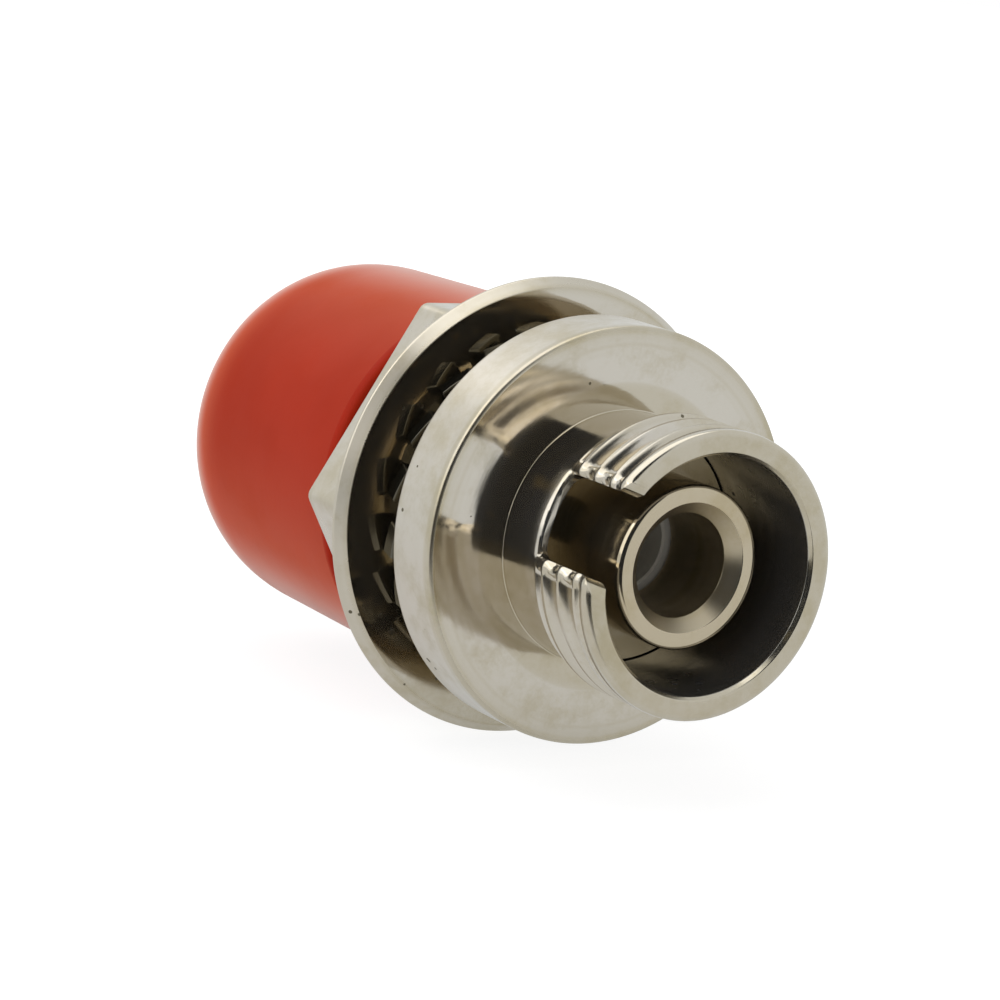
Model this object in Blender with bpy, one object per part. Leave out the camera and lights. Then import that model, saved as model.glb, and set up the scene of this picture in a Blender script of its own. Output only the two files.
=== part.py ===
"""Panel-mount optical adapter with its alignment sleeve, lock washer, nut and dust cap.

The frame: +Y runs along the bore, from the open front to the capped rear, and +Z is up, as the
adapter lies on a bench. The origin is on the bore's axis, in the plane of the flange's rear face,
which is the face that seats on the panel. Angles about the bore run from +X towards +Z.
All driving sizes are in millimetres and degrees.
"""
import math

import bmesh
import bpy
from mathutils import Matrix

MM = 0.001
MERGE = 0.0000005
ROUND_SEGMENTS = 48
FILLET_STEPS = 3
SHARP_ANGLE = 30.0

# Clearances between pieces
RUNNING_CLEARANCE = 0.10
SEAT_CLEARANCE = 0.04

# Body: threaded barrels, flange and bore
THREAD_D = 8.0
FRONT_BARREL_LENGTH = 4.67
REAR_BARREL_LENGTH = 12.83
FRONT_THREAD_LENGTH = 3.05
NECK_D = 7.2
NECK_FILLET = 0.12
RELIEF_WIDTH = 0.6
RIM_CHAMFER = 0.12
FLANGE_D = 11.9
FLANGE_THICKNESS = 1.9
FLANGE_EDGE = 0.10
BORE_D = 6.63
BORE_DEPTH = 3.85
BORE_CHAMFER = 0.12
KEYWAY_WIDTH = 2.4
KEYWAY_LENGTH = 3.0
KEYWAY_ANGLE = 161.7
FLAT_DISTANCE = 3.66

# Sleeve holders and split sleeve
HOLDER_TUBE_D = 4.58
HOLDER_RECESS = 1.04
HOLDER_BASE_THICKNESS = 1.2
HOLDER_MOUTH_D = 2.9
HOLDER_MOUTH_CHAMFER = 0.37
HOLDER_EDGE = 0.15
SLEEVE_D = 3.2
SLEEVE_BORE_D = 2.5
SLEEVE_LENGTH = 11.4
SLEEVE_SLIT = 0.45
SLEEVE_SLIT_ANGLE = -90.0
SLEEVE_SEGMENTS = 32

# Mounting nut, with a round collar towards the panel
NUT_GAP = 1.69
NUT_ACROSS_FLATS = 11.03
NUT_CORNER_BREAK = 0.18
NUT_THICKNESS = 2.39
NUT_COLLAR_D = 13.32
NUT_COLLAR_THICKNESS = 0.40
NUT_COLLAR_BEVEL = 0.26
NUT_COLLAR_BEVEL_LENGTH = 0.31
NUT_BORE_CHAMFER = 0.25
NUT_CORNER_ANGLE = 181.0

# Tooth lock washer
WASHER_RING_WIDTH = 0.55
WASHER_TOOTH_LENGTH = 0.65
WASHER_SHEET = 0.45
WASHER_TEETH = 20
WASHER_TOOTH_SHARE = 0.62
WASHER_TWIST = 22.0
WASHER_ANGLE = 8.5

# Dust cap
CAP_RIM_D = 11.08
CAP_SHOULDER_D = 10.83
CAP_DOME_LENGTH = 4.36
CAP_DOME_POWER = 2.4
CAP_DOME_STEPS = 10
CAP_RIM_ROUND = 0.35
CAP_GAP = 0.25
CAP_END_GAP = 0.15
CAP_BOTTOM_ROUND = 0.8
CAP_END_WALL = 1.66

# Places along the bore that follow from the sizes above
FLANGE_FRONT_Y = -FLANGE_THICKNESS
FRONT_RIM_Y = FLANGE_FRONT_Y - FRONT_BARREL_LENGTH
REAR_RIM_Y = REAR_BARREL_LENGTH
MIDDLE_Y = (FRONT_RIM_Y + REAR_RIM_Y) / 2
NUT_FACE_Y = NUT_GAP
NUT_BACK_Y = NUT_FACE_Y + NUT_THICKNESS
CAP_RIM_Y = NUT_BACK_Y + CAP_GAP
CAP_BOTTOM_Y = REAR_RIM_Y + CAP_END_GAP + CAP_BOTTOM_ROUND
CAP_END_Y = CAP_BOTTOM_Y + CAP_END_WALL
HOLDER_PASSAGE_D = HOLDER_TUBE_D + 2 * RUNNING_CLEARANCE
NUT_BORE_D = THREAD_D + 2 * RUNNING_CLEARANCE
WASHER_BORE_D = THREAD_D + 2 * RUNNING_CLEARANCE
WASHER_TIP_D = WASHER_BORE_D + 2 * (WASHER_RING_WIDTH + WASHER_TOOTH_LENGTH)


def clear_scene():
    for obj in list(bpy.data.objects):
        bpy.data.objects.remove(obj, do_unlink=True)


def make_material(name, colour, roughness, metallic):
    """Makes a plain finish."""
    material = bpy.data.materials.new(name)
    material.use_nodes = True
    shader = material.node_tree.nodes["Principled BSDF"]
    shader.inputs["Base Color"].default_value = (*colour, 1.0)
    shader.inputs["Roughness"].default_value = roughness
    shader.inputs["Metallic"].default_value = metallic
    material.diffuse_color = (*colour, 1.0)
    return material


def make_object(name, bm, material, origin_y=0.0):
    """Turns a bmesh in metres into a named object, with its origin on the bore's axis."""
    mesh = bpy.data.meshes.new(name)
    bm.to_mesh(mesh)
    bm.free()
    mesh.shade_smooth()
    mesh.set_sharp_from_angle(angle=math.radians(SHARP_ANGLE))
    if material:
        mesh.materials.append(material)
    obj = bpy.data.objects.new(name, mesh)
    bpy.context.collection.objects.link(obj)
    mesh.transform(Matrix.Translation((0, -origin_y * MM, 0)))
    obj.matrix_world = Matrix.Translation((0, origin_y * MM, 0))
    return obj


def carry(child, carrier):
    """Makes the child move with its carrier, from where it stands."""
    child.parent = carrier
    child.matrix_parent_inverse = carrier.matrix_world.inverted()


def make_cutter(name, bm):
    """Makes a tool body that shapes another object and isn't part of the product."""
    cutter = make_object(name, bm, None)
    cutter.hide_render = True
    cutter.display_type = "WIRE"
    return cutter


def shape_with(target, tool, operation):
    """Adds a Boolean that shapes the target with the tool, and moves the tool with the target."""
    modifier = target.modifiers.new(tool.name, "BOOLEAN")
    modifier.solver = "EXACT"
    modifier.operation = operation
    modifier.object = tool
    carry(tool, target)


def fillet(before, corner, after, radius):
    """Points of an arc that rounds a corner of an outline."""
    def leg(end):
        dx, dy = end[0] - corner[0], end[1] - corner[1]
        length = math.hypot(dx, dy)
        return dx / length, dy / length, length

    ax, ay, a_length = leg(before)
    bx, by, b_length = leg(after)
    half = math.acos(max(-1.0, min(1.0, ax * bx + ay * by))) / 2
    setback = min(radius / math.tan(half), 0.49 * a_length, 0.49 * b_length)
    radius = setback * math.tan(half)
    start = (corner[0] + ax * setback, corner[1] + ay * setback)
    mx, my = ax + bx, ay + by
    reach = radius / math.sin(half) / math.hypot(mx, my)
    centre = (corner[0] + mx * reach, corner[1] + my * reach)
    first = math.atan2(start[1] - centre[1], start[0] - centre[0])
    end = (corner[0] + bx * setback, corner[1] + by * setback)
    sweep = math.atan2(end[1] - centre[1], end[0] - centre[0]) - first
    sweep = (sweep + math.pi) % (2 * math.pi) - math.pi
    points = []
    for step in range(FILLET_STEPS + 1):
        angle = first + sweep * step / FILLET_STEPS
        points.append((centre[0] + radius * math.cos(angle), centre[1] + radius * math.sin(angle)))
    return points


def outline(corners):
    """Expands corners of (radius, y) or (radius, y, fillet radius) into plain points."""
    points = []
    count = len(corners)
    for index, corner in enumerate(corners):
        if len(corner) == 2:
            points.append(corner)
        else:
            points += fillet(corners[index - 1], corner, corners[(index + 1) % count], corner[2])
    return points


def turned(points, closed=True, segments=ROUND_SEGMENTS):
    """Spins an outline of (radius, y) points in mm about the bore's axis."""
    bm = bmesh.new()
    verts = [bm.verts.new((radius * MM, y * MM, 0.0)) for radius, y in points]
    edges = [bm.edges.new(pair) for pair in zip(verts, verts[1:])]
    if closed:
        edges.append(bm.edges.new((verts[-1], verts[0])))
    bmesh.ops.spin(bm, geom=verts + edges, cent=(0, 0, 0), axis=(0, 1, 0),
                   angle=2 * math.pi, steps=segments, use_merge=True)
    bmesh.ops.remove_doubles(bm, verts=bm.verts, dist=MERGE)
    bmesh.ops.recalc_face_normals(bm, faces=bm.faces)
    return bm


def block(low, high, angle=0.0):
    """A box between two corners in mm, turned about the bore's axis from +X towards +Z."""
    bm = bmesh.new()
    bmesh.ops.create_cube(bm, size=1.0)
    size = [(b - a) * MM for a, b in zip(low, high)]
    centre = [(a + b) / 2 * MM for a, b in zip(low, high)]
    bmesh.ops.scale(bm, verts=bm.verts, vec=size)
    bmesh.ops.translate(bm, verts=bm.verts, vec=centre)
    turn = Matrix.Rotation(math.radians(-angle), 3, "Y")
    bmesh.ops.rotate(bm, verts=bm.verts, cent=(0, 0, 0), matrix=turn)
    return bm


def around(radius, angle, y):
    """A point at a radius and an angle about the bore, in metres."""
    turn = math.radians(angle)
    return (radius * math.cos(turn) * MM, y * MM, radius * math.sin(turn) * MM)


def make_housing(material):
    """The body is turned from one bar: front barrel, flange, mounting thread and rear barrel."""
    thread_r = THREAD_D / 2
    neck_r = NECK_D / 2
    bore_r = BORE_D / 2
    passage_r = HOLDER_PASSAGE_D / 2
    front_floor = FRONT_RIM_Y + BORE_DEPTH + HOLDER_BASE_THICKNESS
    rear_floor = REAR_RIM_Y - BORE_DEPTH - HOLDER_BASE_THICKNESS
    thread_end = FRONT_RIM_Y + FRONT_THREAD_LENGTH
    slope = thread_r - neck_r
    profile = outline([
        (bore_r + BORE_CHAMFER, FRONT_RIM_Y),
        (thread_r - RIM_CHAMFER, FRONT_RIM_Y),
        (thread_r, FRONT_RIM_Y + RIM_CHAMFER),
        (thread_r, thread_end),
        (neck_r, thread_end + slope),
        (neck_r, FLANGE_FRONT_Y, NECK_FILLET),
        (FLANGE_D / 2, FLANGE_FRONT_Y, FLANGE_EDGE),
        (FLANGE_D / 2, 0.0, FLANGE_EDGE),
        (neck_r, 0.0),
        (neck_r, RELIEF_WIDTH),
        (thread_r, RELIEF_WIDTH + slope),
        (thread_r, REAR_RIM_Y - RIM_CHAMFER),
        (thread_r - RIM_CHAMFER, REAR_RIM_Y),
        (bore_r + BORE_CHAMFER, REAR_RIM_Y),
        (bore_r, REAR_RIM_Y - BORE_CHAMFER),
        (bore_r, rear_floor),
        (passage_r, rear_floor),
        (passage_r, front_floor),
        (bore_r, front_floor),
        (bore_r, FRONT_RIM_Y + BORE_CHAMFER),
    ])
    housing = make_object("housing", turned(profile), material)

    past = 2 * THREAD_D
    half = KEYWAY_WIDTH / 2
    front_end = FRONT_RIM_Y + KEYWAY_LENGTH
    rear_end = REAR_RIM_Y - KEYWAY_LENGTH
    front_keyway = block((0, FRONT_RIM_Y - past, -half), (past, front_end, half), KEYWAY_ANGLE)
    rear_keyway = block((0, rear_end, -half), (past, REAR_RIM_Y + past, half), KEYWAY_ANGLE)
    flat = block((FLAT_DISTANCE, 0, -past), (past, REAR_RIM_Y + past, past), KEYWAY_ANGLE + 180)
    shape_with(housing, make_cutter("front_keyway_cut", front_keyway), "DIFFERENCE")
    shape_with(housing, make_cutter("rear_keyway_cut", rear_keyway), "DIFFERENCE")
    shape_with(housing, make_cutter("flat_cut", flat), "DIFFERENCE")
    return housing


def holder_profile():
    """Outline of the front holder: a tube that holds half of the sleeve, and a round base."""
    tube_r = HOLDER_TUBE_D / 2
    base_r = BORE_D / 2 - SEAT_CLEARANCE
    mouth_r = HOLDER_MOUTH_D / 2
    pocket_r = SLEEVE_D / 2 + RUNNING_CLEARANCE
    face_y = FRONT_RIM_Y + HOLDER_RECESS
    base_front = FRONT_RIM_Y + BORE_DEPTH
    base_back = base_front + HOLDER_BASE_THICKNESS - SEAT_CLEARANCE
    pocket_y = MIDDLE_Y - SLEEVE_LENGTH / 2 - RUNNING_CLEARANCE
    end_y = MIDDLE_Y - SEAT_CLEARANCE / 2
    return outline([
        (mouth_r + HOLDER_MOUTH_CHAMFER, face_y),
        (tube_r, face_y, HOLDER_EDGE),
        (tube_r, base_front),
        (base_r, base_front),
        (base_r, base_back),
        (tube_r, base_back),
        (tube_r, end_y),
        (pocket_r, end_y),
        (pocket_r, pocket_y),
        (mouth_r, pocket_y),
        (mouth_r, face_y + HOLDER_MOUTH_CHAMFER),
    ])


def make_holders(material, carrier):
    """Two like holders meet at the middle, and the sleeve floats in the pocket between them."""
    front = holder_profile()
    rear = [(radius, 2 * MIDDLE_Y - y) for radius, y in front]
    carry(make_object("front_sleeve_holder", turned(front), material), carrier)
    carry(make_object("rear_sleeve_holder", turned(rear), material), carrier)


def make_split_sleeve(material, carrier):
    """A slit tube that lines up the two plugs' ends."""
    outer_r = SLEEVE_D / 2
    inner_r = SLEEVE_BORE_D / 2
    half_slit = math.degrees(math.asin(SLEEVE_SLIT / 2 / inner_r))
    first = SLEEVE_SLIT_ANGLE + half_slit
    sweep = 360 - 2 * half_slit
    front_y = MIDDLE_Y - SLEEVE_LENGTH / 2
    bm = bmesh.new()
    outer, inner = [], []
    for step in range(SLEEVE_SEGMENTS + 1):
        angle = first + sweep * step / SLEEVE_SEGMENTS
        outer.append(bm.verts.new(around(outer_r, angle, front_y)))
        inner.append(bm.verts.new(around(inner_r, angle, front_y)))
    faces = []
    for step in range(SLEEVE_SEGMENTS):
        corners = (outer[step], outer[step + 1], inner[step + 1], inner[step])
        faces.append(bm.faces.new(corners))
    grown = bmesh.ops.extrude_face_region(bm, geom=faces)
    moved = [item for item in grown["geom"] if isinstance(item, bmesh.types.BMVert)]
    bmesh.ops.translate(bm, verts=moved, vec=(0, SLEEVE_LENGTH * MM, 0))
    bmesh.ops.recalc_face_normals(bm, faces=bm.faces)
    carry(make_object("split_sleeve", bm, material), carrier)


def washer_height():
    """Height of the washer over its twisted teeth."""
    twist = math.radians(WASHER_TWIST)
    tooth_width = math.pi * WASHER_TIP_D / WASHER_TEETH * WASHER_TOOTH_SHARE
    return tooth_width * math.sin(twist) + WASHER_SHEET * math.cos(twist)


def make_lock_washer(material, carrier):
    """A flat ring with teeth outside, each twisted about its own radius."""
    bore_r = WASHER_BORE_D / 2
    root_r = bore_r + WASHER_RING_WIDTH
    tip_r = WASHER_TIP_D / 2
    middle_y = NUT_FACE_Y - SEAT_CLEARANCE - washer_height() / 2
    pitch = 360 / WASHER_TEETH
    half_tooth = pitch * WASHER_TOOTH_SHARE / 2
    twist = math.radians(WASHER_TWIST)
    half_width = tip_r * math.sin(math.radians(half_tooth))
    half_sheet = WASHER_SHEET / 2

    def tip_corner(bm, angle, side, face):
        across = side * half_width * math.cos(twist) - face * half_sheet * math.sin(twist)
        along = side * half_width * math.sin(twist) + face * half_sheet * math.cos(twist)
        turn = angle + math.degrees(math.asin(across / tip_r))
        return bm.verts.new(around(tip_r, turn, middle_y + along))

    bm = bmesh.new()
    bore, root, tips = [], [], []
    for tooth in range(WASHER_TEETH):
        angle = WASHER_ANGLE + tooth * pitch
        for side in (-1, 1):
            turn = angle + side * half_tooth
            levels = (middle_y - half_sheet, middle_y + half_sheet)
            bore.append([bm.verts.new(around(bore_r, turn, y)) for y in levels])
            root.append([bm.verts.new(around(root_r, turn, y)) for y in levels])
            tips.append([tip_corner(bm, angle, side, face) for face in (-1, 1)])
    count = len(bore)
    for here in range(count):
        after = (here + 1) % count
        for level in (0, 1):
            bm.faces.new((bore[here][level], bore[after][level],
                          root[after][level], root[here][level]))
        bm.faces.new((bore[here][0], bore[here][1], bore[after][1], bore[after][0]))
        if here % 2:
            bm.faces.new((root[here][0], root[here][1], root[after][1], root[after][0]))
            continue
        for level in (0, 1):
            bm.faces.new((root[here][level], root[after][level],
                          tips[after][level], tips[here][level]))
        bm.faces.new((tips[here][0], tips[here][1], tips[after][1], tips[after][0]))
        for station in (here, after):
            bm.faces.new((root[station][0], root[station][1], tips[station][1], tips[station][0]))
    bmesh.ops.recalc_face_normals(bm, faces=bm.faces)
    washer = make_object("lock_washer", bm, material, middle_y)
    carry(washer, carrier)
    return washer


def make_mounting_nut(material, carrier):
    """A hexagon nut whose round collar faces the panel, made as one piece."""
    collar_r = NUT_COLLAR_D / 2
    bore_r = NUT_BORE_D / 2
    corner_r = NUT_ACROSS_FLATS / math.sqrt(3)
    overlap = NUT_COLLAR_THICKNESS / 2

    hexagon = bmesh.new()
    base = bmesh.ops.create_circle(hexagon, cap_ends=True, radius=corner_r * MM, segments=6)
    bmesh.ops.bevel(hexagon, geom=base["verts"], offset=NUT_CORNER_BREAK * MM,
                    affect="VERTICES", segments=2, profile=0.5)
    grown = bmesh.ops.extrude_face_region(hexagon, geom=hexagon.faces[:])
    moved = [item for item in grown["geom"] if isinstance(item, bmesh.types.BMVert)]
    length = (NUT_THICKNESS - overlap) * MM
    bmesh.ops.translate(hexagon, verts=moved, vec=(0, 0, length))
    stand = Matrix.Rotation(math.radians(-90), 3, "X")
    turn = Matrix.Rotation(math.radians(-90 - NUT_CORNER_ANGLE), 3, "Y")
    bmesh.ops.rotate(hexagon, verts=hexagon.verts, cent=(0, 0, 0), matrix=turn @ stand)
    bmesh.ops.translate(hexagon, verts=hexagon.verts, vec=(0, (NUT_FACE_Y + overlap) * MM, 0))
    bmesh.ops.recalc_face_normals(hexagon, faces=hexagon.faces)
    nut = make_object("mounting_nut", hexagon, material, NUT_FACE_Y)

    collar = turned([
        (0.0, NUT_FACE_Y),
        (collar_r - NUT_COLLAR_BEVEL, NUT_FACE_Y),
        (collar_r, NUT_FACE_Y + NUT_COLLAR_BEVEL_LENGTH),
        (collar_r, NUT_FACE_Y + NUT_COLLAR_THICKNESS),
        (0.0, NUT_FACE_Y + NUT_COLLAR_THICKNESS),
    ], closed=False)
    wide_bore_r = bore_r + NUT_BORE_CHAMFER
    bore = turned([
        (0.0, NUT_FACE_Y - NUT_BORE_CHAMFER),
        (wide_bore_r + NUT_BORE_CHAMFER, NUT_FACE_Y - NUT_BORE_CHAMFER),
        (bore_r, NUT_FACE_Y + NUT_BORE_CHAMFER),
        (bore_r, NUT_BACK_Y - NUT_BORE_CHAMFER),
        (wide_bore_r + NUT_BORE_CHAMFER, NUT_BACK_Y + NUT_BORE_CHAMFER),
        (0.0, NUT_BACK_Y + NUT_BORE_CHAMFER),
    ], closed=False)
    shape_with(nut, make_cutter("nut_collar", collar), "UNION")
    shape_with(nut, make_cutter("nut_bore_cut", bore), "DIFFERENCE")
    carry(nut, carrier)


def make_dust_cap(material, carrier):
    """A soft cap moulded in one piece: straight walls, a long rounded end and a plain bore."""
    rim_r = CAP_RIM_D / 2
    shoulder_r = CAP_SHOULDER_D / 2
    bore_r = THREAD_D / 2 + SEAT_CLEARANCE
    shoulder_y = CAP_END_Y - CAP_DOME_LENGTH
    dome = []
    for step in range(CAP_DOME_STEPS + 1):
        angle = math.pi / 2 * step / CAP_DOME_STEPS
        out = math.cos(angle) ** (2 / CAP_DOME_POWER) if step < CAP_DOME_STEPS else 0.0
        along = math.sin(angle) ** (2 / CAP_DOME_POWER)
        dome.append((shoulder_r * out, shoulder_y + CAP_DOME_LENGTH * along))
    walls = outline([
        (0.0, CAP_BOTTOM_Y),
        (bore_r, CAP_BOTTOM_Y, CAP_BOTTOM_ROUND),
        (bore_r, CAP_RIM_Y, CAP_RIM_ROUND / 2),
        (rim_r, CAP_RIM_Y, CAP_RIM_ROUND),
        dome[0],
    ])
    cap = make_object("dust_cap", turned(walls + dome[1:], closed=False), material, CAP_RIM_Y)
    carry(cap, carrier)


def main():
    clear_scene()
    nickel = make_material("nickel_plated_brass", (0.62, 0.59, 0.52), 0.18, 1.0)
    bright = make_material("bright_nickel", (0.66, 0.64, 0.58), 0.12, 1.0)
    steel = make_material("plated_spring_steel", (0.60, 0.60, 0.58), 0.30, 1.0)
    ceramic = make_material("white_ceramic", (0.85, 0.84, 0.80), 0.25, 0.0)
    vinyl = make_material("red_vinyl", (0.62, 0.05, 0.02), 0.35, 0.0)
    housing = make_housing(nickel)
    make_holders(bright, housing)
    make_split_sleeve(ceramic, housing)
    washer = make_lock_washer(steel, housing)
    make_mounting_nut(nickel, washer)
    make_dust_cap(vinyl, housing)


main()
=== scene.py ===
# %% [markdown]
# # A panel-mount optical adapter
# The real thing is a small turned fitting, 22 mm long, that joins two light-guide plugs through a
# panel. It lies on a white table with a soft red cap on its far end. Nearly every surface comes off
# a lathe, so most pieces here are outlines spun about one axis, the bore's, which runs along Y.
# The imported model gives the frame: where each part sits and which body it moves with. The pieces
# below stand for its plain solids and add the fine form that the eye sees: threads, rounded edges,
# turning marks and worn plating.

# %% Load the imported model
import math

import bmesh
import bpy
from mathutils import Matrix, Vector


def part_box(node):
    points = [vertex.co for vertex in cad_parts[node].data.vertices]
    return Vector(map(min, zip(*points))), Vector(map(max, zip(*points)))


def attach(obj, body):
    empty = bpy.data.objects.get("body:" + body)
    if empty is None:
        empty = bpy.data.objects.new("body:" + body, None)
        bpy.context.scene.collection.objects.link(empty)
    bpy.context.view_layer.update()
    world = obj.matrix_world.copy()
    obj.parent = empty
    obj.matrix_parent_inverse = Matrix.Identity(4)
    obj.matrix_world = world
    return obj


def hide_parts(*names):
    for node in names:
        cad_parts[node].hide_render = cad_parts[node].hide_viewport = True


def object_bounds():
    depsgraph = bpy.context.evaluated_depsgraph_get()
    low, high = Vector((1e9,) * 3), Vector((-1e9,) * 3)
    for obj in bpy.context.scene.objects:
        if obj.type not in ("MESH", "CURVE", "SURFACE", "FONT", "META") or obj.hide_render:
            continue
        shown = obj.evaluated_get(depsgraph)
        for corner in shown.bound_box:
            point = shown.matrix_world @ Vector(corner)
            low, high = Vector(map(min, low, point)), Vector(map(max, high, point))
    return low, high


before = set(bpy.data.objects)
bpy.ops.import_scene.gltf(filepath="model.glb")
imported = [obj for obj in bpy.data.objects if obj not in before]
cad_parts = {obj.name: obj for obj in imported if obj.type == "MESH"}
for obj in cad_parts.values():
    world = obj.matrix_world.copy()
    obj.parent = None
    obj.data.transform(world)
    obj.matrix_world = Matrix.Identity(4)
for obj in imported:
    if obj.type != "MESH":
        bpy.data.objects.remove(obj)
cad_low, cad_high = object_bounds()
MM = 0.001
scene = bpy.context.scene
print("nodes:", sorted(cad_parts))
print("size in mm:", [round((b - a) / MM, 2) for a, b in zip(cad_low, cad_high)])

# %% [markdown]
# ## Camera
# A photograph fixes its camera: the ellipses of the rim, flange and nut tell where the lens stood.
# Those rings gave the three axes below. The lens is long, 126 mm on a 36 mm sensor, because the
# object is tiny and was photographed from about a hand's width with little perspective.

# %% Camera
camera_data = bpy.data.cameras.new("camera")
camera_data.sensor_width = 36.0
camera_data.lens = 126.0
camera_data.clip_start = 0.005
camera = bpy.data.objects.new("camera", camera_data)
scene.collection.objects.link(camera)
right = Vector((0.83334, -0.53934, 0.12105))
up = Vector((0.0, 0.21899, 0.97573))
back = Vector((-0.55276, -0.81312, 0.18249))
turn = Matrix((right, up, back)).transposed().to_4x4()
camera.matrix_world = Matrix.Translation(Vector((-56.19, -78.85, 18.34)) * MM) @ turn
scene.camera = camera
print("camera distance in mm:", round(camera.location.length / MM, 1))

# %% [markdown]
# ## Floor, background and light
# The object lies on a pale table in a white tent, the usual way to photograph bright metal: the
# metal mirrors the tent, and the open front of the tent shows in it as dark bands. The floor and
# the world are white to the camera and a faint blue to reflections, while lamps and a modest world
# light the piece. Some of the floor's own shading is kept, so that the object has its shadow.


# %% Floor, background and light
# A Mix node lists its sockets for every type of data. These are the ones for colour.
MIX_FIRST, MIX_SECOND, MIX_RESULT = 6, 7, 2


def light_path_mask(tree):
    """One where a camera, mirror or glass ray looks, nought for light that bounces about."""
    path = tree.nodes.new("ShaderNodeLightPath")
    first = tree.nodes.new("ShaderNodeMath")
    first.operation = "MAXIMUM"
    second = tree.nodes.new("ShaderNodeMath")
    second.operation = "MAXIMUM"
    tree.links.new(path.outputs["Is Camera Ray"], first.inputs[0])
    tree.links.new(path.outputs["Is Glossy Ray"], first.inputs[1])
    tree.links.new(first.outputs[0], second.inputs[0])
    tree.links.new(path.outputs["Is Transmission Ray"], second.inputs[1])
    return second.outputs[0]


def surroundings_colour(tree):
    """White, but a little blue where a mirror looks, like daylight through a tent."""
    node = tree.nodes.new("ShaderNodeMix")
    node.data_type = "RGBA"
    node.inputs[MIX_FIRST].default_value = (1.0, 1.0, 1.0, 1.0)
    node.inputs[MIX_SECOND].default_value = (0.90, 0.95, 1.0, 1.0)
    tree.links.new(tree.nodes.new("ShaderNodeLightPath").outputs["Is Glossy Ray"], node.inputs[0])
    return node.outputs[MIX_RESULT]


scene.view_settings.view_transform = "Standard"
world = bpy.data.worlds.new("tent")
world.use_nodes = True
scene.world = world
tent = world.node_tree
level = tent.nodes.new("ShaderNodeMapRange")
level.inputs["To Min"].default_value = 0.45
level.inputs["To Max"].default_value = 1.0
tent.links.new(light_path_mask(tent), level.inputs["Value"])
tent.links.new(level.outputs["Result"], tent.nodes["Background"].inputs["Strength"])
tent.links.new(surroundings_colour(tent), tent.nodes["Background"].inputs["Color"])

floor_z = cad_low.z
table_half = 0.6
table = bmesh.new()
bmesh.ops.create_grid(table, x_segments=1, y_segments=1, size=table_half)
bmesh.ops.translate(table, verts=table.verts, vec=(0, 0, floor_z))
table_mesh = bpy.data.meshes.new("table")
table.to_mesh(table_mesh)
table.free()
floor = bpy.data.objects.new("table", table_mesh)
scene.collection.objects.link(floor)
paper = bpy.data.materials.new("white_paper")
paper.use_nodes = True
nodes = paper.node_tree.nodes

# The floor's own shading shows near the object, and gives way to plain white further off
glow = nodes.new("ShaderNodeEmission")
mix = nodes.new("ShaderNodeMixShader")
share = nodes.new("ShaderNodeMath")
share.operation = "MULTIPLY"
distance = nodes.new("ShaderNodeVectorMath")
distance.operation = "LENGTH"
far = nodes.new("ShaderNodeMapRange")
far.interpolation_type = "SMOOTHSTEP"
far.inputs["From Min"].default_value = 12 * MM
far.inputs["From Max"].default_value = 60 * MM
far.inputs["To Min"].default_value = 0.72
far.inputs["To Max"].default_value = 1.0
lift = nodes.new("ShaderNodeMath")
lift.operation = "MULTIPLY_ADD"
lift.inputs[1].default_value = 0.22
lift.inputs[2].default_value = 1.0
nodes["Principled BSDF"].inputs["Base Color"].default_value = (0.9, 0.9, 0.9, 1.0)
nodes["Principled BSDF"].inputs["Roughness"].default_value = 0.9
nodes["Principled BSDF"].inputs["Specular IOR Level"].default_value = 0.0
links = paper.node_tree.links
links.new(nodes.new("ShaderNodeTexCoord").outputs["Object"], distance.inputs[0])
links.new(distance.outputs["Value"], far.inputs["Value"])
links.new(far.outputs["Result"], share.inputs[1])
links.new(nodes.new("ShaderNodeLightPath").outputs["Is Camera Ray"], lift.inputs[0])
links.new(lift.outputs[0], glow.inputs["Strength"])
links.new(surroundings_colour(paper.node_tree), glow.inputs["Color"])
links.new(light_path_mask(paper.node_tree), share.inputs[0])
links.new(share.outputs[0], mix.inputs["Fac"])
links.new(nodes["Principled BSDF"].outputs[0], mix.inputs[1])
links.new(glow.outputs[0], mix.inputs[2])
links.new(mix.outputs[0], nodes["Material Output"].inputs["Surface"])
table_mesh.materials.append(paper)


def add_lamp(name, place, aim, size, watts):
    """A soft square lamp at a place in mm, turned towards a point in mm."""
    data = bpy.data.lights.new(name, "AREA")
    data.shape = "RECTANGLE"
    data.size = size[0] * MM
    data.size_y = size[1] * MM
    data.energy = watts
    lamp = bpy.data.objects.new(name, data)
    lamp.location = Vector(place) * MM
    direction = (Vector(aim) - Vector(place)).normalized()
    lamp.rotation_euler = direction.to_track_quat("-Z", "Y").to_euler()
    scene.collection.objects.link(lamp)


add_lamp("top_lamp", (-40, 40, 160), (0, 4, 0), (230, 230), 0.16)
add_lamp("left_lamp", (-150, 20, 80), (0, 4, 0), (190, 140), 0.07)
print("floor height in mm:", round(floor_z / MM, 3))

# %% [markdown]
# ## Dark surroundings of the lens
# The side of the tent where the lens looks in stays open, and the dim room behind it gives bright
# metal its dark bands. A black lamp doesn't exist, so a bent sheet stands there instead. Only
# reflections see it: the camera looks through it, and it casts no shadow. A soft noise sets a few
# olive patches in its near-black, as a room has.


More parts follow.
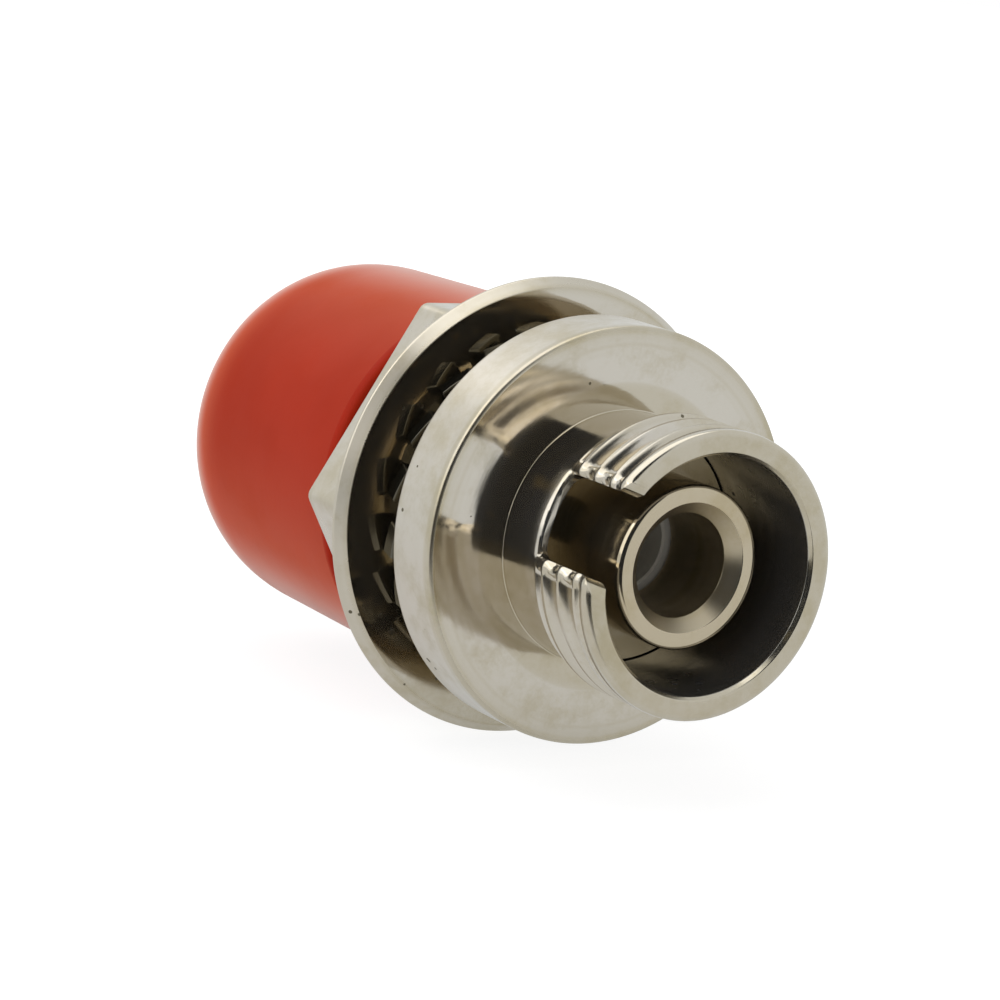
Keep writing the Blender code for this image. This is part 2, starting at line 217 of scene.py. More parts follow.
# %% Dark surroundings of the lens
def add_surroundings(name, first, last, reach, height):
    """A dark sheet round the lens that only mirrors see: along the table, then up like a wall.

    It runs from a first to a last angle in degrees, between the two radii in reach, in mm.
    """
    bm = bmesh.new()
    rows = []
    columns = 48
    low = floor_z / MM + 0.1
    for radius, z in ((reach[0], low), (reach[1], low), (reach[1], height)):
        row = []
        for column in range(columns + 1):
            angle = math.radians(first + (last - first) * column / columns)
            place = (radius * math.cos(angle), radius * math.sin(angle), z)
            row.append(bm.verts.new(Vector(place) * MM))
        rows.append(row)
    for lower, upper in zip(rows, rows[1:]):
        for column in range(columns):
            bm.faces.new((lower[column], lower[column + 1], upper[column + 1], upper[column]))
    mesh = bpy.data.meshes.new(name)
    bm.to_mesh(mesh)
    bm.free()
    sheet = bpy.data.objects.new(name, mesh)
    scene.collection.objects.link(sheet)
    material = bpy.data.materials.new(name)
    material.use_nodes = True
    tree = material.node_tree
    tree.nodes.remove(tree.nodes["Principled BSDF"])
    shade = tree.nodes.new("ShaderNodeEmission")
    patches = tree.nodes.new("ShaderNodeTexNoise")
    patches.inputs["Scale"].default_value = 22.0
    patches.inputs["Detail"].default_value = 1.0
    tones = tree.nodes.new("ShaderNodeMapRange")
    tones.data_type = "FLOAT_VECTOR"
    tones.interpolation_type = "SMOOTHSTEP"
    # For vectors this node has its own From Min, From Max, To Min and To Max, in that order
    limits = ((0.60, 0.60, 0.60), (0.80, 0.80, 0.80), (0.020, 0.024, 0.032), (0.20, 0.17, 0.09))
    for socket, limit in zip(tones.inputs[7:11], limits):
        socket.default_value = limit
    tree.links.new(tree.nodes.new("ShaderNodeTexCoord").outputs["Object"], patches.inputs["Vector"])
    tree.links.new(patches.outputs[0], tones.inputs["Vector"])
    tree.links.new(tones.outputs["Vector"], shade.inputs["Color"])
    tree.links.new(shade.outputs[0], tree.nodes["Material Output"].inputs["Surface"])
    mesh.materials.append(material)
    sheet.visible_camera = False
    sheet.visible_diffuse = False
    sheet.visible_shadow = False
    print(name, "faces", len(mesh.polygons))


add_surroundings("dark_room", -158, -80, (19, 120), 150)

# %% [markdown]
# ## Finishes shared by the metal pieces
# Three effects return on all the metal: the fine rings that a cutting tool leaves, the small pits
# in thin plating, and the smudges of handling. Each is a node group, built once, that puts out
# plain values. A ring pattern only needs two numbers for any point: its distance from the bore's
# axis and its place along it. Noise over those two draws rings on a face and on a cylinder alike.


# %% Node group helpers
def new_group(name, inputs, outputs):
    """A shader node group with float inputs {name: default} and float outputs."""
    group = bpy.data.node_groups.new(name, "ShaderNodeTree")
    for socket, value in inputs.items():
        made = group.interface.new_socket(socket, in_out="INPUT", socket_type="NodeSocketFloat")
        made.default_value = value
    for socket in outputs:
        group.interface.new_socket(socket, in_out="OUTPUT", socket_type="NodeSocketFloat")
    group.nodes.new("NodeGroupInput")
    group.nodes.new("NodeGroupOutput")
    return group


def maths(tree, operation, *values):
    """A Math node whose inputs are sockets or plain numbers, and its output."""
    node = tree.nodes.new("ShaderNodeMath")
    node.operation = operation
    for place, value in enumerate(values):
        if isinstance(value, (int, float)):
            node.inputs[place].default_value = value
        else:
            tree.links.new(value, node.inputs[place])
    return node.outputs[0]


def noise(tree, vector, scale, detail=2.0, roughness=0.5):
    """A noise texture over a vector, and its value."""
    node = tree.nodes.new("ShaderNodeTexNoise")
    node.inputs["Detail"].default_value = detail
    node.inputs["Roughness"].default_value = roughness
    if isinstance(scale, (int, float)):
        node.inputs["Scale"].default_value = scale
    else:
        tree.links.new(scale, node.inputs["Scale"])
    tree.links.new(vector, node.inputs["Vector"])
    return node.outputs[0]


def map_range(tree, value, low, high, to_low, to_high):
    """A soft Map Range node whose limits are sockets or plain numbers, and its result."""
    node = tree.nodes.new("ShaderNodeMapRange")
    node.interpolation_type = "SMOOTHSTEP"
    tree.links.new(value, node.inputs["Value"])
    for socket, number in zip(("From Min", "From Max", "To Min", "To Max"),
                              (low, high, to_low, to_high)):
        if isinstance(number, (int, float)):
            node.inputs[socket].default_value = number
        else:
            tree.links.new(number, node.inputs[socket])
    return node.outputs["Result"]


def object_point(tree):
    """The point on the piece, in metres."""
    return tree.nodes.new("ShaderNodeTexCoord").outputs["Object"]


# %% Turning marks, pits and smudges
def build_turning_marks():
    """Rings left by a lathe: fine height, broad wave, a mask of where they run deeper, and the
    distances in mm from the axis and along it."""
    group = new_group("turning_marks", {"Rings per mm": 12.0},
                      ("Height", "Wave", "Deeper", "Radius", "Along"))
    given = group.nodes["Group Input"].outputs
    result = group.nodes["Group Output"].inputs
    point = object_point(group)
    parts = group.nodes.new("ShaderNodeSeparateXYZ")
    group.links.new(point, parts.inputs[0])
    x, y, z = parts.outputs
    squares = maths(group, "ADD", maths(group, "MULTIPLY", x, x), maths(group, "MULTIPLY", z, z))
    radius = maths(group, "SQRT", squares)
    profile = group.nodes.new("ShaderNodeCombineXYZ")
    group.links.new(radius, profile.inputs[0])
    group.links.new(y, profile.inputs[1])
    per_metre = maths(group, "MULTIPLY", given["Rings per mm"], 1000.0)
    fine = noise(group, profile.outputs[0], per_metre, 3.0, 0.7)
    broad = noise(group, profile.outputs[0], maths(group, "MULTIPLY", per_metre, 0.15), 1.0)
    patches = noise(group, point, 260.0, 2.0)
    deeper = map_range(group, maths(group, "ADD", broad, patches), 0.85, 1.2, 0.0, 1.0)
    group.links.new(maths(group, "MULTIPLY", fine, maths(group, "MULTIPLY_ADD", deeper, 0.6, 0.4)),
                    result["Height"])
    group.links.new(deeper, result["Deeper"])
    group.links.new(maths(group, "MULTIPLY", radius, 1000.0), result["Radius"])
    group.links.new(maths(group, "MULTIPLY", y, 1000.0), result["Along"])
    group.links.new(noise(group, profile.outputs[0], 1300.0, 2.0, 0.45), result["Wave"])
    return group


def build_plating_wear():
    """Pits in the plating, and the smudges of handling."""
    group = new_group("plating_wear", {"Pits per mm": 2.2, "Pit share": 0.35}, ("Pits", "Smudges"))
    given = group.nodes["Group Input"].outputs
    result = group.nodes["Group Output"].inputs
    point = object_point(group)
    cells = group.nodes.new("ShaderNodeTexVoronoi")
    cells.inputs["Randomness"].default_value = 1.0
    group.links.new(point, cells.inputs["Vector"])
    group.links.new(maths(group, "MULTIPLY", given["Pits per mm"], 1000.0), cells.inputs["Scale"])
    where = noise(group, point, 420.0, 2.0)
    start = maths(group, "SUBTRACT", 1.0, given["Pit share"])
    reach = map_range(group, where, start, maths(group, "ADD", start, 0.2), 0.0, 0.21)
    pits = maths(group, "LESS_THAN", cells.outputs["Distance"], reach)
    group.links.new(pits, result["Pits"])
    smudge = noise(group, point, 330.0, 6.0, 0.74)
    group.links.new(map_range(group, smudge, 0.42, 0.68, 0.0, 1.0), result["Smudges"])
    return group


turning_marks = build_turning_marks()
plating_wear = build_plating_wear()
print("groups:", turning_marks.name, plating_wear.name)


# %% [markdown]
# ## Bright metal
# The body and nut are turned brass under a thin nickel plate: warm pale grey, close to a mirror,
# with turning rings that smear each reflection across themselves. The smear is the shader's
# anisotropy. Its direction runs round the axis, from a cross product of the axis and the point.
# Not all of a piece is equally fine: the flange's edge, the barrel and the nut's back are satin,
# and the bore is duller, with painted shade darkening its colour. Small functions build the
# masks of those areas from a point's distance from the axis and its place along it.


# %% Metal finish
def group_node(tree, group, **values):
    """A node group placed in a tree, with plain values for its inputs."""
    node = tree.nodes.new("ShaderNodeGroup")
    node.node_tree = group
    for socket, value in values.items():
        node.inputs[socket.replace("_", " ")].default_value = value
    return node.outputs


def mix_colour(tree, factor, first, second):
    """A colour mix of two plain colours or sockets."""
    node = tree.nodes.new("ShaderNodeMix")
    node.data_type = "RGBA"
    tree.links.new(factor, node.inputs[0])
    for socket, colour in ((node.inputs[MIX_FIRST], first), (node.inputs[MIX_SECOND], second)):
        if isinstance(colour, tuple):
            socket.default_value = (*colour, 1.0)
        else:
            tree.links.new(colour, socket)
    return node.outputs[MIX_RESULT]


def make_metal(name, pale, warm, rough, wave, pits, rings=12.0, ring_depth=0.25, smear=0.0,
               satin=None, dull_and_shade=None):
    """Plated metal with turning rings, waves, pits and smudges.

    satin() builds the mask of where it is softer. The other mask marks the bore: rougher, less
    metallic, and darker with painted shade.
    """
    mirror_share = 0.97
    material = bpy.data.materials.new(name)
    material.use_nodes = True
    tree = material.node_tree
    shader = tree.nodes["Principled BSDF"]
    shader.inputs["Metallic"].default_value = mirror_share
    marks = group_node(tree, turning_marks, Rings_per_mm=rings)
    wear = group_node(tree, plating_wear, Pit_share=pits)
    arcs = maths(tree, "MULTIPLY", map_range(tree, marks["Wave"], 0.44, 0.60, 0.0, 1.0),
                 maths(tree, "MULTIPLY_ADD", wear["Smudges"], 0.5, 0.5))
    stain = maths(tree, "MAXIMUM", maths(tree, "MULTIPLY", wear["Smudges"], 0.75), arcs)
    colour = mix_colour(tree, stain, pale, warm)
    dark = tuple(0.35 * value for value in warm)
    colour = mix_colour(tree, wear["Pits"], colour, dark)
    # Painted shade: in the bore the colour goes towards a dark blue grey
    if dull_and_shade:
        bore_dullness_and_shade = dull_and_shade(tree, marks)
        painted_bore_shade = maths(tree, "MULTIPLY", bore_dullness_and_shade, 0.55)
        colour = mix_colour(tree, painted_bore_shade, colour, (0.15, 0.165, 0.19))
    tree.links.new(colour, shader.inputs["Base Color"])
    roughness = maths(tree, "MULTIPLY_ADD", marks["Deeper"], 0.05, rough)
    roughness = maths(tree, "MULTIPLY_ADD", wear["Smudges"], 0.05, roughness)
    roughness = maths(tree, "MULTIPLY_ADD", wear["Pits"], 0.25, roughness)
    if dull_and_shade:
        roughness = maths(tree, "MULTIPLY_ADD", bore_dullness_and_shade, 0.12, roughness)
        metallic = maths(tree, "MULTIPLY_ADD", bore_dullness_and_shade, -0.08, mirror_share)
        tree.links.new(metallic, shader.inputs["Metallic"])
    if satin:
        soft = satin(tree, marks)
        roughness = maths(tree, "MULTIPLY_ADD", soft, 0.22, roughness)
    tree.links.new(roughness, shader.inputs["Roughness"])
    height = maths(tree, "SUBTRACT", maths(tree, "MULTIPLY", marks["Height"], ring_depth),
                   maths(tree, "MULTIPLY", wear["Pits"], 0.8))
    height = maths(tree, "MULTIPLY_ADD", marks["Wave"], wave, height)
    bump = tree.nodes.new("ShaderNodeBump")
    bump.inputs["Distance"].default_value = 0.02 * MM
    bump.inputs["Strength"].default_value = 0.6
    tree.links.new(height, bump.inputs["Height"])
    tree.links.new(bump.outputs[0], shader.inputs["Normal"])
    if smear:
        shader.inputs["Anisotropic"].default_value = smear
        shader.inputs["Anisotropic Rotation"].default_value = 0.25
        around_axis = tree.nodes.new("ShaderNodeVectorMath")
        around_axis.operation = "CROSS_PRODUCT"
        around_axis.inputs[0].default_value = (0.0, 1.0, 0.0)
        tree.links.new(object_point(tree), around_axis.inputs[1])
        tree.links.new(around_axis.outputs[0], shader.inputs["Tangent"])
    return material


def satin_on_body(tree, marks):
    """The flange's edge and the outside of the front barrel, which were turned less finely."""
    flange_edge_r, barrel_r, neck_front_y = 5.83, 3.345, -3.45
    edge = maths(tree, "GREATER_THAN", marks["Radius"], flange_edge_r)
    outside = maths(tree, "GREATER_THAN", marks["Radius"], barrel_r)
    in_front = maths(tree, "LESS_THAN", marks["Along"], neck_front_y)
    barrel = maths(tree, "MULTIPLY", outside, in_front)
    return maths(tree, "MAXIMUM", edge, maths(tree, "MULTIPLY", barrel, 0.4))


def dull_and_shaded_bore(tree, marks):
    """The bore: rougher and less metallic as the drill left it, and darker with painted shade."""
    just_over_bore_r = 3.33
    return maths(tree, "LESS_THAN", marks["Radius"], just_over_bore_r)


def satin_on_nut(tree, marks):
    """All but the nut's front face, which is like a mirror."""
    bevel_r, collar_back_y = 6.385, 2.04
    return maths(tree, "MAXIMUM", maths(tree, "GREATER_THAN", marks["Radius"], bevel_r),
                 maths(tree, "GREATER_THAN", marks["Along"], collar_back_y))


def satin_on_holder(tree, marks):
    """The countersunk mouth."""
    mouth_edge_r = 1.81
    return maths(tree, "LESS_THAN", marks["Radius"], mouth_edge_r)


nickel = make_metal("nickel_plated_brass", (0.60, 0.545, 0.46), (0.46, 0.395, 0.265), 0.07,
                    wave=0.4, pits=0.46, ring_depth=0.06, smear=0.25, satin=satin_on_body,
                    dull_and_shade=dull_and_shaded_bore)
polished = make_metal("polished_nickel", (0.59, 0.535, 0.445), (0.46, 0.395, 0.27), 0.05,
                      wave=0.2, pits=0.50, ring_depth=0.04, smear=0.2, satin=satin_on_nut)
bright = make_metal("bright_nickel", (0.515, 0.435, 0.305), (0.43, 0.345, 0.20), 0.10,
                    wave=0.2, pits=0.2, ring_depth=0.06, smear=0.2, satin=satin_on_holder)
# The washer's steel is painted nearly black: painted shade of the dark gap between flange and nut.
steel = make_metal("plated_spring_steel", (0.13, 0.118, 0.09), (0.085, 0.075, 0.05), 0.17,
                   wave=0.0, pits=0.3, rings=5.0)
print("metals:", [material.name for material in (nickel, polished, bright, steel)])

# %% [markdown]
# ## Ceramic and soft vinyl
# The split sleeve is ground white ceramic, even and a little glossy. The cap is vinyl that was
# dipped on a hot mandrel: an even red, faintly cloudy, with soft waves in its skin and dust on it.
# At a slant a painted sheen makes the skin more orange, then pale, driven by a Layer Weight's
# Facing.


# %% Ceramic and vinyl
def make_ceramic():
    """Ground white ceramic."""
    material = bpy.data.materials.new("white_ceramic")
    material.use_nodes = True
    tree = material.node_tree
    shader = tree.nodes["Principled BSDF"]
    marks = group_node(tree, turning_marks, Rings_per_mm=20.0)
    tree.links.new(mix_colour(tree, marks["Deeper"], (0.60, 0.585, 0.54), (0.52, 0.51, 0.47)),
                   shader.inputs["Base Color"])
    tree.links.new(maths(tree, "MULTIPLY_ADD", marks["Deeper"], 0.1, 0.22),
                   shader.inputs["Roughness"])
    return material


def make_vinyl():
    """Dipped red vinyl with a cloudy skin, soft waves, dust, and painted sheen at a slant."""
    material = bpy.data.materials.new("red_vinyl")
    material.use_nodes = True
    tree = material.node_tree
    shader = tree.nodes["Principled BSDF"]
    point = object_point(tree)
    cloud = map_range(tree, noise(tree, point, 240.0, 3.0), 0.35, 0.7, 0.0, 1.0)
    colour = mix_colour(tree, cloud, (0.41, 0.020, 0.004), (0.36, 0.016, 0.003))
    wear = group_node(tree, plating_wear, Pits_per_mm=1.4, Pit_share=0.30)
    dust = maths(tree, "MULTIPLY", wear["Pits"], 0.35)
    colour = mix_colour(tree, dust, colour, (0.62, 0.30, 0.24))
    # Painted sheen: lighter orange, then pale, where the skin turns away from the view
    edge = tree.nodes.new("ShaderNodeLayerWeight")
    edge.inputs["Blend"].default_value = 0.5
    painted_orange_sheen = map_range(tree, edge.outputs["Facing"], 0.38, 0.90, 0.0, 0.70)
    colour = mix_colour(tree, painted_orange_sheen, colour, (0.72, 0.125, 0.028))
    pale = map_range(tree, edge.outputs["Facing"], 0.66, 0.98, 0.0, 0.85)
    colour = mix_colour(tree, pale, colour, (0.78, 0.50, 0.43))
    tree.links.new(colour, shader.inputs["Base Color"])
    shader.inputs["Specular IOR Level"].default_value = 0.08
    grain = noise(tree, point, 5200.0, 2.0)
    roughness = maths(tree, "MULTIPLY_ADD", cloud, 0.06, 0.40)
    tree.links.new(maths(tree, "MULTIPLY_ADD", wear["Smudges"], 0.05, roughness),
                   shader.inputs["Roughness"])
    bump = tree.nodes.new("ShaderNodeBump")
    bump.inputs["Distance"].default_value = 0.03 * MM
    bump.inputs["Strength"].default_value = 0.5
    waves = noise(tree, point, 420.0, 1.0)
    tree.links.new(maths(tree, "MULTIPLY_ADD", grain, 0.12, maths(tree, "MULTIPLY", waves, 1.5)),
                   bump.inputs["Height"])
    tree.links.new(bump.outputs[0], shader.inputs["Normal"])
    return material


ceramic = make_ceramic()
vinyl = make_vinyl()
print("other finishes:", ceramic.name, vinyl.name)

# %% [markdown]
# ## Outlines that are spun
# A turned piece is one outline spun about the bore's axis. Rounded corners matter more than their
# size suggests, because each catches a thin bright line of light, so every corner gets its radius.
# The spin is done column by column in plain code. All columns stand at the same angles on every
# piece, so that a thread made on its own fits the rings at its two ends exactly.

# %% Outline and spin helpers
COLUMNS = 432


def smooth_step(share):
    """A share held between 0 and 1, with a soft start and end."""
    share = min(max(share, 0.0), 1.0)
    return share * share * (3 - 2 * share)


def rounded(corners, steps=4):
    """Expands (radius, y) and (radius, y, fillet) corners, in mm, into plain points.

    Each fillet gets a point just past either end, which keeps the faces beside it shaded flat. A
    fillet takes at most just under half of the line on either side.
    """
    points = []
    count = len(corners)
    hold = 0.012
    most = 0.49
    for index, corner in enumerate(corners):
        if len(corner) == 2:
            points.append(Vector(corner))
            continue
        here = Vector(corner[:2])
        to_before = Vector(corners[index - 1][:2]) - here
        to_after = Vector(corners[(index + 1) % count][:2]) - here
        room_before = most * to_before.length
        room_after = most * to_after.length
        half = to_before.angle(to_after) / 2
        setback = min(corner[2] / math.tan(half), room_before, room_after)
        start = here + to_before.normalized() * setback
        end = here + to_after.normalized() * setback
        if setback + hold < room_before:
            points.append(start + to_before.normalized() * hold)
        for step in range(steps + 1):
            share = step / steps
            rest = 1 - share
            points.append(rest ** 2 * start + 2 * share * rest * here + share ** 2 * end)
        if setback + hold < room_after:
            points.append(end + to_after.normalized() * hold)
    return points


def spin(points, closed=False, shape=None):
    """Spins an outline into a bmesh. shape(angle, radius, y) may move each point of a column."""
    bm = bmesh.new()
    rings = []
    for radius, y in points:
        if radius < 1e-6:
            rings.append([bm.verts.new((0, y * MM, 0))] * COLUMNS)
            continue
        ring = []
        for column in range(COLUMNS):
            angle = -2 * math.pi * column / COLUMNS
            r, along = shape(angle, radius, y) if shape else (radius, y)
            x, z = r * math.cos(angle) * MM, r * math.sin(angle) * MM
            ring.append(bm.verts.new((x, along * MM, z)))
        rings.append(ring)
    pairs = list(zip(rings, rings[1:]))
    if closed:
        pairs.append((rings[-1], rings[0]))
    for low, high in pairs:
        for column in range(COLUMNS):
            after = (column + 1) % COLUMNS
            corners = []
            for vert in (low[column], low[after], high[after], high[column]):
                if vert not in corners:
                    corners.append(vert)
            bm.faces.new(corners)
    return bm


def finish_mesh(name, bm, material, sharp=35.0):
    """Merges, closes and shades a bmesh as a named object at the origin."""
    bmesh.ops.remove_doubles(bm, verts=bm.verts, dist=1e-7)
    bmesh.ops.dissolve_degenerate(bm, edges=bm.edges, dist=1e-7)
    bmesh.ops.recalc_face_normals(bm, faces=bm.faces)
    open_edges = sum(1 for edge in bm.edges if len(edge.link_faces) != 2)
    mesh = bpy.data.meshes.new(name)
    bm.to_mesh(mesh)
    bm.free()
    mesh.materials.clear()
    mesh.materials.append(material)
    for polygon in mesh.polygons:
        polygon.material_index = 0
    mesh.shade_smooth()
    mesh.set_sharp_from_angle(angle=math.radians(sharp))
    obj = bpy.data.objects.new(name, mesh)
    scene.collection.objects.link(obj)
    print(name, "faces", len(mesh.polygons), "open edges", open_edges)
    return obj


def stand_for(obj, node, body):
    """The piece takes the place of a plain solid and rides on its body."""
    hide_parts(node)
    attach(obj, body)


def plain_mesh(obj):
    """The mesh that an object's modifiers leave it with."""
    bpy.context.view_layer.update()
    depsgraph = bpy.context.evaluated_depsgraph_get()
    return bpy.data.meshes.new_from_object(obj.evaluated_get(depsgraph))


print("columns in one turn:", COLUMNS)


# %% [markdown]
# ## A thread by rule
# A thread is one groove wound about the axis at a fixed rise per turn, here 0.75 mm. It could be
# cut with a Boolean, which leaves ragged slivers, or by moving points up and down on a fine tube,
# which blurs its crests. This tree makes a flat grid instead and rolls it up along the helix, so
# that every row of points runs along the crest or the root. Rows that pass the thread's ends are
# held at the ends, where they merge into one plain ring.


# %% Geometry Nodes tree for a thread
def build_thread_tree():
    """A grid rolled up along a helix, between two plain rings."""
    tree = bpy.data.node_groups.new("helical_thread", "GeometryNodeTree")
    tree.interface.new_socket("Geometry", in_out="OUTPUT", socket_type="NodeSocketGeometry")
    tree.interface.new_socket("Geometry", in_out="INPUT", socket_type="NodeSocketGeometry")
    for name in ("Crest Radius", "Depth", "Pitch", "Start", "End", "Start Radius", "End Radius",
                 "Flank Slope", "Phase", "Turns", "Crest Share", "Groove Share"):
        tree.interface.new_socket(name, in_out="INPUT", socket_type="NodeSocketFloat")
    for name in ("Columns", "Rows"):
        tree.interface.new_socket(name, in_out="INPUT", socket_type="NodeSocketInt")
    tree.interface.new_socket("Material", in_out="INPUT", socket_type="NodeSocketMaterial")
    given = tree.nodes.new("NodeGroupInput").outputs
    result = tree.nodes.new("NodeGroupOutput")

    grid = tree.nodes.new("GeometryNodeMeshGrid")
    grid.inputs["Size X"].default_value = 1.0
    grid.inputs["Size Y"].default_value = 1.0
    tree.links.new(maths(tree, "ADD", given["Columns"], 1.0), grid.inputs["Vertices X"])
    tree.links.new(maths(tree, "ADD", given["Rows"], 1.0), grid.inputs["Vertices Y"])
    place = tree.nodes.new("ShaderNodeSeparateXYZ")
    tree.links.new(tree.nodes.new("GeometryNodeInputPosition").outputs[0], place.inputs[0])
    round_share = maths(tree, "ADD", place.outputs[0], 0.5)
    turns = maths(tree, "MULTIPLY", maths(tree, "ADD", place.outputs[1], 0.5), given["Turns"])

    # Height along the axis, held between the two ends
    lead = maths(tree, "ADD", maths(tree, "ADD", turns, round_share), given["Phase"])
    raw_y = maths(tree, "MULTIPLY_ADD", maths(tree, "SUBTRACT", lead, 2.0), given["Pitch"],
                  given["Start"])
    y = maths(tree, "MINIMUM", maths(tree, "MAXIMUM", raw_y, given["Start"]), given["End"])

    # Rounded crest and root: a smooth step on the distance from the crest's middle line
    cycle = maths(tree, "FRACT", turns)
    from_crest = maths(tree, "ABSOLUTE", maths(tree, "MULTIPLY_ADD", cycle, 2.0, -1.0))
    rise = map_range(tree, from_crest, given["Crest Share"], given["Groove Share"],
                     given["Crest Radius"],
                     maths(tree, "SUBTRACT", given["Crest Radius"], given["Depth"]))
    radius = rise
    for ring, distance in (("Start Radius", maths(tree, "SUBTRACT", y, given["Start"])),
                           ("End Radius", maths(tree, "SUBTRACT", given["End"], y))):
        reach = maths(tree, "MULTIPLY", distance, given["Flank Slope"])
        radius = maths(tree, "MAXIMUM", radius, maths(tree, "SUBTRACT", given[ring], reach))
        radius = maths(tree, "MINIMUM", radius, maths(tree, "ADD", given[ring], reach))

    angle = maths(tree, "MULTIPLY", round_share, -2 * math.pi)
    where = tree.nodes.new("ShaderNodeCombineXYZ")
    tree.links.new(maths(tree, "MULTIPLY", radius, maths(tree, "COSINE", angle)), where.inputs[0])
    tree.links.new(y, where.inputs[1])
    tree.links.new(maths(tree, "MULTIPLY", radius, maths(tree, "SINE", angle)), where.inputs[2])
    move = tree.nodes.new("GeometryNodeSetPosition")
    tree.links.new(grid.outputs["Mesh"], move.inputs["Geometry"])
    tree.links.new(where.outputs[0], move.inputs["Position"])
    merge = tree.nodes.new("GeometryNodeMergeByDistance")
    merge.inputs["Distance"].default_value = 1e-7
    realize = tree.nodes.new("GeometryNodeRealizeInstances")
    finish = tree.nodes.new("GeometryNodeSetMaterial")
    tree.links.new(given["Material"], finish.inputs["Material"])
    for before, after in ((move, merge), (merge, realize), (realize, finish), (finish, result)):
        tree.links.new(before.outputs[0], after.inputs[0])
    return tree


def grow(tree, **values):
    """Runs a Geometry Nodes tree on an empty object and returns its result as a bmesh."""
    holder = bpy.data.objects.new(tree.name, bpy.data.meshes.new(tree.name))
    scene.collection.objects.link(holder)
    modifier = holder.modifiers.new(tree.name, "NODES")
    modifier.node_group = tree
    for item in tree.interface.items_tree:
        key = item.name.replace(" ", "_").lower()
        if item.in_out == "INPUT" and key in values:
            modifier[item.identifier] = values[key]
    made = plain_mesh(holder)
    holder.modifiers.clear()
    bpy.data.objects.remove(holder)
    bm = bmesh.new()
    bm.from_mesh(made)
    bpy.data.meshes.remove(made)
    return bm


PITCH = 0.75


def make_thread(start, end, start_radius, end_radius, crest, depth, rows, phase, material,
                slope=1.6):
    """A length of thread between two plain rings, sizes in mm.

    rows is the number of rows of points to a pitch, slope how steeply it runs out at its ends.
    """
    turns = math.ceil((end - start) / PITCH) + 3
    return grow(thread_tree, crest_radius=crest * MM, depth=depth * MM, pitch=PITCH * MM,
                start=start * MM, end=end * MM, start_radius=start_radius * MM,
                end_radius=end_radius * MM, flank_slope=slope, phase=phase, turns=float(turns),
                crest_share=0.14, groove_share=0.86, columns=COLUMNS, rows=turns * rows,
                material=material)


thread_tree = build_thread_tree()
print("thread tree nodes:", len(thread_tree.nodes))


def join(*parts):
    """One bmesh from several, which are used up."""
    whole = bmesh.new()
    for part in parts:
        mesh = bpy.data.meshes.new("part")
        part.to_mesh(mesh)
        part.free()
        whole.from_mesh(mesh)
        bpy.data.meshes.remove(mesh)
    return whole


# %% [markdown]
# ## Body
# The body is one turned piece: a front barrel with an outside thread, a plain neck, the flange, and
# a long mounting thread that runs on to the rear rim under the cap. Two open outlines give its
# plain surfaces, two threads fill the gaps between their rings, and the seams merge into one skin.
# Beside the front keyway the grooves stop short at a smooth lip, which tumbling and plating leave.
# It is made by moving the points there, before a Boolean cuts the keyway itself.

# %% Body sizes and outlines
rim_y = -6.57
flange_y = -1.9
rear_y = 12.83
thread_r = 4.0
neck_r = 3.6
bore_r = 3.315
passage_r = 2.39
flange_r = 5.95
thread_depth = 0.40
recess = 5.05
chamfer = 0.12
front_start = rim_y + 0.34
front_end = rim_y + 3.08
rear_start = 0.62
rear_end = rear_y - 0.2
print("front thread from", round(front_start, 2), "to", round(front_end, 2), "mm")

inside = rounded([
    (thread_r, front_start),
    (thread_r, rim_y, 0.16),
    (bore_r + 0.10, rim_y, 0.05),
    (bore_r, rim_y + chamfer, 0.05),
    (bore_r, rim_y + recess),
    (passage_r, rim_y + recess),
    (passage_r, rear_y - recess),
    (bore_r, rear_y - recess),
    (bore_r, rear_y - chamfer, 0.05),
    (bore_r + 0.10, rear_y, 0.05),
    (thread_r - 0.05, rear_y, 0.10),
    (thread_r, rear_end),
])
outside = rounded([
    (neck_r, front_end),
    (neck_r, front_end + 0.06),
    (neck_r, flange_y, 0.03),
    (5.4, flange_y),
    (flange_r, flange_y, 0.12),
    (flange_r, 0.0, 0.09),
    (neck_r, 0.0, 0.08),
    (neck_r, rear_start),
])
print("outline points:", len(inside), len(outside))

# %% Body from its outlines and threads
run_out = 0.6
front_thread = make_thread(front_start, front_end, thread_r, neck_r, thread_r, thread_depth,
                           rows=14, phase=0.4, material=nickel, slope=run_out)
rear_thread = make_thread(rear_start, rear_end, neck_r, thread_r, thread_r, thread_depth,
                          rows=6, phase=0.0, material=nickel)
body_bm = join(spin(inside), spin(outside), front_thread, rear_thread)
bmesh.ops.remove_doubles(body_bm, verts=body_bm.verts, dist=1e-7)

# The keyway, its edges, the lip beside it, and the flat on the other side
key_angle = math.radians(161.7)
key_out = Vector((math.cos(key_angle), 0, math.sin(key_angle)))
key_across = Vector((-math.sin(key_angle), 0, math.cos(key_angle)))
key_half = 1.2
key_end = rim_y + 3.0
broken = 0.28
softness = 0.8
lip_reach = 0.42
lip_width = 0.16
flat_distance = 3.66


def scale_about_axis(vert, share):
    """Moves a point towards or away from the bore's axis."""
    vert.co.x *= share
    vert.co.z *= share


